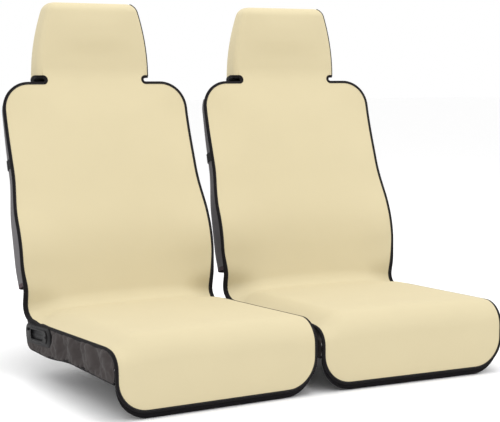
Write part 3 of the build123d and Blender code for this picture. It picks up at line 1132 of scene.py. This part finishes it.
def skirt_hem(cover, hand, sign):
    edge = [Vector((sign * SKIRT_HALF, *skirt_low(part))) for part in spread(0, 1, 0.01)][::sign]
    frames = path_frames(edge, lambda i: Vector((sign, 0, 0)))
    tape = [(o + 0.004, u - STRETCH * 0.4) for o, u in tape_section(0.007, -0.0022, 0.0022, 0.0016)]
    piece(cover, f"{hand}_skirt_hem", sweep(frames, tape), "black_binding", "seat")


def settle(thing):
    """Applies a piece's modifiers to its mesh."""
    graph = bpy.context.evaluated_depsgraph_get()
    mesh = bpy.data.meshes.new_from_object(thing.evaluated_get(graph))
    mesh.set_sharp_from_angle(angle=radians(50))
    thing.modifiers.clear()
    old = thing.data
    thing.data = mesh
    bpy.data.meshes.remove(old)


# ---- lever bezel
def on_bezel(along, up, out):
    """A point of the lever bezel: along it towards the rear, up it, and out from the skirt."""
    y = along * cos(BEZEL_TILT) + up * sin(BEZEL_TILT)
    z = up * cos(BEZEL_TILT) - along * sin(BEZEL_TILT)
    return Vector((-SKIRT_HALF - out, BEZEL_CENTRE[0] + y, BEZEL_CENTRE[1] + z))


def rounded_ring(length, height, corner, out, ahead=0.0):
    """A rounded rectangle on the bezel, moved ahead of its middle."""
    ring = []
    for turn in range(4):
        for k in range(9):
            angle = pi / 2 * (turn + k / 8)
            cy = (length / 2 - corner) * (1 if turn in (0, 3) else -1)
            cz = (height / 2 - corner) * (1 if turn in (0, 1) else -1)
            ring.append(on_bezel(cy + corner * cos(angle) - ahead, cz + corner * sin(angle), out))
    return ring


def ring_wall(rings, closed):
    """Faces between rings of points; the last ring joins the first if closed."""
    size = len(rings[0])
    faces = []
    for r in range(len(rings) if closed else len(rings) - 1):
        after = (r + 1) % len(rings)
        for k in range(size):
            n = (k + 1) % size
            faces.append((r * size + k, after * size + k, after * size + n, r * size + n))
    return faces


def bezel(cover):
    """The moulded plate: a rolled outer edge, a raised ridge round the lever's slot, and two clips."""
    rings = []
    for inset, out in ((0, 0.0), (0, 0.0022), (0.0012, 0.0042), (0.003, 0.0050)):
        length, height = (side - 2 * inset for side in BEZEL_SIZE)
        rings.append(rounded_ring(length, height, 0.018 - 0.7 * inset, out, BEZEL_AHEAD))
    for inset, out in ((0, 0.0050), (0.0010, 0.0062), (0.0026, 0.0072), (0.0046, 0.0072)):
        length, height = (side - 2 * inset for side in RIDGE_SIZE)
        rings.append(rounded_ring(length, height, 0.014 - inset, out, RIDGE_AHEAD))
    for gap, out in ((0.0012, 0.0058), (0.0, 0.0046), (0.0, 0.0)):
        rings.append(rounded_ring(LEVER_SLOT[0] + gap, LEVER_SLOT[1] + gap, 0.009, out))
    verts = [v for ring in rings for v in ring]
    shape = verts, ring_wall(rings, True), [(v.y, v.z) for v in verts]
    piece(cover, "lever_bezel_plate", shape, "bezel_plastic", "seat", ["lever_bezel"])
    for name, along, up in (("front", -0.062, 0.0), ("rear", 0.060, 0.010)):
        piece(cover, f"bezel_clip_{name}", clip_shape(along, up), "buckle_plastic", "seat")


def lips(cover):
    """Two thin rubber lips that meet across the lever's slot, fixed behind the plate."""
    half_length = LEVER_SLOT[0] / 2 + 0.002
    half_height = LEVER_SLOT[1] / 2 + 0.0015
    overlap = 0.0008
    for name, sign in (("upper", 1), ("lower", -1)):
        rows = []
        for up in spread(-overlap, half_height, 0.0025):
            sag = 0.0012 * (1 - up / half_height) + (0.0010 if sign < 0 else 0)
            rows.append([(on_bezel(along, sign * up, sag), Vector((-1, 0, 0)), (along, up))
                         for along in spread(-half_length, half_length, 0.004)])
        shape = mirrored(thick_sheet(rows, 0, LIP_THICK), sign)
        piece(cover, f"lever_lip_{name}", shape, "buckle_plastic", "seat")


def clip_shape(along, up):
    """A push-in clip's round head with a dimple in it."""
    rings = []
    angles = [2 * pi * k / 20 for k in range(20)]
    profile = ((0.0038, 0.0048), (0.0038, 0.0080), (0.0032, 0.0086), (0.0018, 0.0086), (0.0012, 0.0074))
    for radius, out in profile:
        rings.append([on_bezel(along + radius * cos(a), up + radius * sin(a), out) for a in angles])
    verts = [v for ring in rings for v in ring]
    faces = [tuple(range(20))] + ring_wall(rings, False) + [tuple(reversed(range(80, 100)))]
    return verts, faces, [(v.y, v.z) for v in verts]


# ---- front band, anchor, small parts
def front_band(cover):
    """The padded black band that hangs below the front hem."""
    y = -(SEAT_FRONT - SKIN - GAP)
    half = SEAT_HALF - 0.004
    turn = BAND_LOW + HEM_CORNER
    heights = [2 * turn - z for z in reversed(arc_spread(turn, turn + HEM_CORNER - LAYER_GAP, 12))]
    heights += spread(turn, BAND_TOP, 0.010)
    rows = []
    for z in heights:
        drop = max(turn - z, 0)
        width = half - HEM_CORNER + sqrt(max(HEM_CORNER**2 - drop**2, 0))
        across = [width * c for c in spread(-1, 1, 1 / 20)]
        rows.append([(Vector((x, y, z)), Vector((0, -1, 0)), (x, z)) for x in across])
    pad = thick_sheet(rows, 0, BAND_THICK)
    band = piece(cover, "front_band_pad", pad, "black_binding", nodes=["front_band"])
    bevel = band.modifiers.new("rounded", "BEVEL")
    bevel.width = BAND_THICK * 0.4
    bevel.segments = 3
    bevel.limit_method = "ANGLE"
    settle(band)
    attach(band, f"{cover}_seat")


def anchor_flap(cover):
    """Thin cloth that goes down behind the cushion and round the anchor tube."""
    cy, cz = ANCHOR_CENTRE
    sleeve = ANCHOR_RADIUS + 0.0006
    start = radians(135)
    angles = [start - a for a in spread(0, radians(330), 0.2)]
    around = [(cy + sleeve * cos(a), cz + sleeve * sin(a)) for a in angles]
    rows = []
    for x in spread(-FLAP_HALF, FLAP_HALF, 0.02):
        seam, normal = cloth_place(x, 0)
        seam = seam - normal * (FACE + BACKING - 0.0004)
        down = rounded_line([(seam.y, seam.z), (seam.y + 0.012, seam.z - 0.020), around[0]], [0.012])
        line = resample([Vector((x, p.x, p.y)) for p in down], 16)
        line += [Vector((x, y, z)) for y, z in around[1:]]
        rows.append([p + Vector((0, 0.0012 * sin(x * 60) * smooth(i, 2, 8) * (1 - smooth(i, 10, 15)), 0))
                     for i, p in enumerate(line)])
    shape = thick_sheet(grid_rows(rows, -1), 0, -FLAP_THICK)
    flap = piece(cover, "anchor_flap_cloth", shape, "black_stretch", "seat", ["anchor_flap"])


def cad_pieces(cover):
    """CAD parts whose shape is right, with a better finish and softened edges."""
    finishes = {"under_socket": "buckle_plastic", "under_tongue": "buckle_plastic",
                "chest_socket": "buckle_plastic", "chest_tongue": "buckle_plastic",
                "anchor_tube": "anchor_tube", "hood_elastic": "elastic"}
    for name, look in finishes.items():
        node = frame["nodes"][f"{cover}_{name}"]
        node.data.materials.clear()
        node.data.materials.append(LOOKS[look])
        if look == "buckle_plastic":
            bevel = node.modifiers.new("edges", "BEVEL")
            bevel.width = 0.0006
            bevel.segments = 2
            bevel.limit_method = "ANGLE"
            bevel.angle_limit = radians(40)


# ---- build both covers
panel_rows = cloth_grid()
for cover_name in COVERS:
    one_piece_cloth(cover_name, panel_rows)
    one_piece_binding(cover_name)
    neck(cover_name)
    hood(cover_name)
    hood_trim(cover_name)
    for hand_name, hand_sign in (("lever_side", -1), ("plain_side", 1)):
        wing(cover_name, hand_name, hand_sign)
        chest_strap(cover_name, hand_name, hand_sign)
        under_strap(cover_name, hand_name, hand_sign)
        skirt(cover_name, hand_name, hand_sign)
        skirt_hem(cover_name, hand_name, hand_sign)
    wing_trim(cover_name)
    bezel(cover_name)
    lips(cover_name)
    front_band(cover_name)
    anchor_flap(cover_name)
    cad_pieces(cover_name)


# ---- studio
def surface_look(name, color, roughness):
    look = Look(name, color, roughness)
    look.tint(look.noise(0.4), shade(color, 0.995), color)
    return look.material


def studio():
    low, high = cad_box
    middle = (low + high) / 2
    bpy.ops.mesh.primitive_plane_add(size=60, location=(middle.x, middle.y, low.z - FLOOR_GAP))
    floor = bpy.context.object
    floor.name = "studio_floor"
    floor.data.materials.append(surface_look("studio_floor", (0.985, 0.985, 0.985), 0.9))

    world = bpy.data.worlds.new("studio")
    bpy.context.scene.world = world
    world.use_nodes = True
    background = world.node_tree.nodes["Background"].inputs
    background["Color"].default_value = (1, 1, 1, 1)
    background["Strength"].default_value = 1.0

    for name, place, size, power in (
        ("key", (-2.2, -3.0, 3.4), 2.4, 32),
        ("fill", (2.8, -2.4, 2.2), 2.4, 12),
        ("top", (0.2, -0.2, 3.6), 2.0, 62),
        ("back", (0.6, 3.2, 2.4), 2.0, 12),
    ):
        light = bpy.data.lights.new(name, "AREA")
        light.size = size
        light.energy = power
        lamp = new_object(name, light)
        lamp.location = middle + Vector(place)
        lamp.rotation_euler = (middle - lamp.location).to_track_quat("-Z", "Y").to_euler()


def camera():
    back = Vector((sin(AZIMUTH) * cos(ELEVATION), -cos(AZIMUTH) * cos(ELEVATION), sin(ELEVATION)))
    data = bpy.data.cameras.new("camera")
    data.lens = LENS
    data.sensor_width = 36
    view = new_object("camera", data)
    low, high = cad_box
    target = (low + high) / 2 + Vector(AIM)
    view.location = target + back * DISTANCE
    view.rotation_euler = back.to_track_quat("Z", "Y").to_euler()
    bpy.context.scene.camera = view


studio()
camera()
bpy.context.scene.view_settings.view_transform = "Standard"
